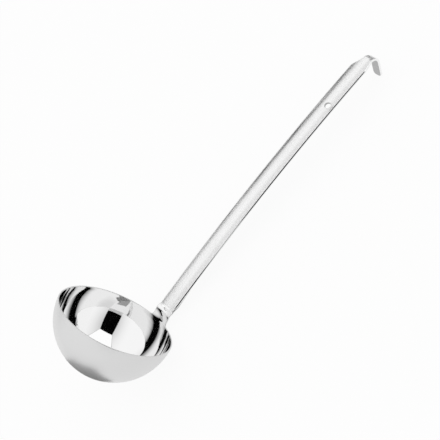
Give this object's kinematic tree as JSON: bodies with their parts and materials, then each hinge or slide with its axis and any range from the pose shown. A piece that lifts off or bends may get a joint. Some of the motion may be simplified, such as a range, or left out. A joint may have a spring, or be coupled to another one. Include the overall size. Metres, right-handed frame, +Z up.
{
  "type": "ladle",
  "caption": "Soup ladle: hemispherical bowl with a drawn neck, lapped and plug-welded to a bowed trough-section handle with a hanging hole and a bent-back hook.",
  "frame": {"origin": "centre of the bounding box's bottom face, on the surface the ladle lies on", "axes": "+X along the handle from the bowl towards the hook, +Z up, +Y across; the ladle rests on the bowl's wall and the hook's tip with the handle's hollow side up"},
  "size_m": [0.3618, 0.1, 0.0959],
  "materials": {
    "bowl_steel": "stainless steel, mirror-polished inside and satin outside",
    "handle_steel": "stainless steel, satin brushed along the handle",
    "weld_steel": "stainless steel weld metal, dull"
  },
  "bodies": {
    "root": {"bowl": "bowl_steel", "handle": "handle_steel", "plug_weld_lower": "weld_steel", "plug_weld_upper": "weld_steel"}
  },
  "joints": []
}
